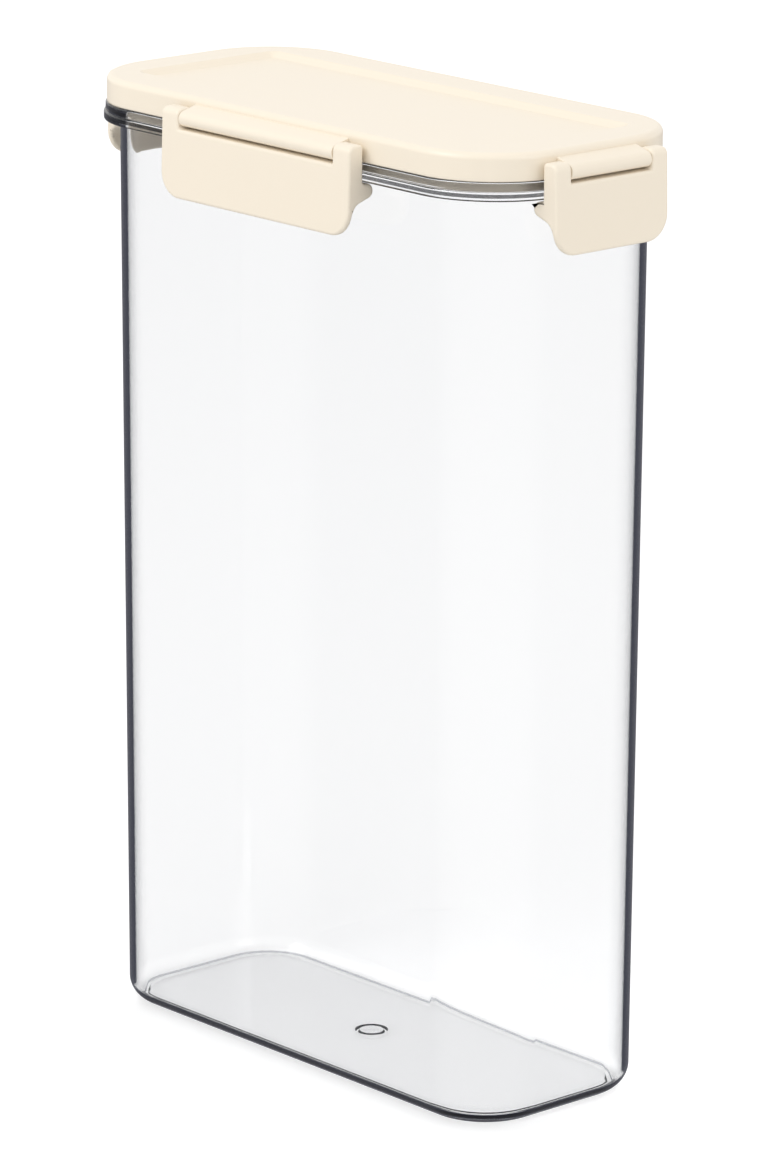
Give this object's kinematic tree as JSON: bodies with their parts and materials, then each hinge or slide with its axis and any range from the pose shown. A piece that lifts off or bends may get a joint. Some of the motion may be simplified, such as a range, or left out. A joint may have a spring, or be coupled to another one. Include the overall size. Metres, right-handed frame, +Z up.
{
  "type": "food storage container",
  "caption": "Tall clear rectangular food container with a tapered body, a cream lid with an inner seal, and hinged side latches that hook under the rim.",
  "frame": {"origin": "centre of the base, on the ground", "axes": "+X along the long side, to the right seen from the front; +Y towards the back; +Z up"},
  "size_m": [0.2058, 0.1008, 0.3],
  "materials": {
    "clear_plastic": "clear moulded, polished",
    "cream_plastic": "fine satin, moulded",
    "seal_silicone": "soft matt",
    "pin_steel": "drawn"
  },
  "bodies": {
    "container": {"container_body": "clear_plastic"},
    "lid": {"lid_cover": "cream_plastic", "lid_gasket": "seal_silicone"},
    "front_pin": {"front_hinge_pin": "pin_steel"},
    "front_clip": {"front_latch": "cream_plastic"},
    "right_pin": {"right_hinge_pin": "pin_steel"},
    "right_clip": {"right_latch": "cream_plastic"},
    "back_pin": {"back_hinge_pin": "pin_steel"},
    "back_clip": {"back_latch": "cream_plastic"},
    "left_pin": {"left_hinge_pin": "pin_steel"},
    "left_clip": {"left_latch": "cream_plastic"}
  },
  "joints": [
    {"name": "lid_lift", "type": "slide", "parent": "container", "child": "lid", "axis": [0, 0, 1], "range_m": [0, 0.0087]},
    {"name": "front_pin_turn", "type": "hinge", "parent": "lid", "child": "front_pin", "pos_m": [0, -0.0473, 0.2942], "axis": [-1, 0, 0], "range_deg": [0, 75]},
    {"name": "front_latch_open", "type": "hinge", "parent": "front_pin", "child": "front_clip", "pos_m": [0, -0.0473, 0.2942], "axis": [-1, 0, 0], "range_deg": [0, 95]},
    {"name": "right_pin_turn", "type": "hinge", "parent": "lid", "child": "right_pin", "pos_m": [0.09985, 0, 0.2942], "axis": [0, -1, 0], "range_deg": [0, 75]},
    {"name": "right_latch_open", "type": "hinge", "parent": "right_pin", "child": "right_clip", "pos_m": [0.09985, 0, 0.2942], "axis": [0, -1, 0], "range_deg": [0, 95]},
    {"name": "back_pin_turn", "type": "hinge", "parent": "lid", "child": "back_pin", "pos_m": [0, 0.0473, 0.2942], "axis": [1, 0, 0], "range_deg": [0, 75]},
    {"name": "back_latch_open", "type": "hinge", "parent": "back_pin", "child": "back_clip", "pos_m": [0, 0.0473, 0.2942], "axis": [1, 0, 0], "range_deg": [0, 95]},
    {"name": "left_pin_turn", "type": "hinge", "parent": "lid", "child": "left_pin", "pos_m": [-0.09985, 0, 0.2942], "axis": [0, 1, 0], "range_deg": [0, 75]},
    {"name": "left_latch_open", "type": "hinge", "parent": "left_pin", "child": "left_clip", "pos_m": [-0.09985, 0, 0.2942], "axis": [0, 1, 0], "range_deg": [0, 95]}
  ],
  "couplings": [
    {"joint": "front_pin_turn", "follows": "lid_lift", "rad_per_m": 150},
    {"joint": "right_pin_turn", "follows": "lid_lift", "rad_per_m": 150},
    {"joint": "back_pin_turn", "follows": "lid_lift", "rad_per_m": 150},
    {"joint": "left_pin_turn", "follows": "lid_lift", "rad_per_m": 150}
  ]
}
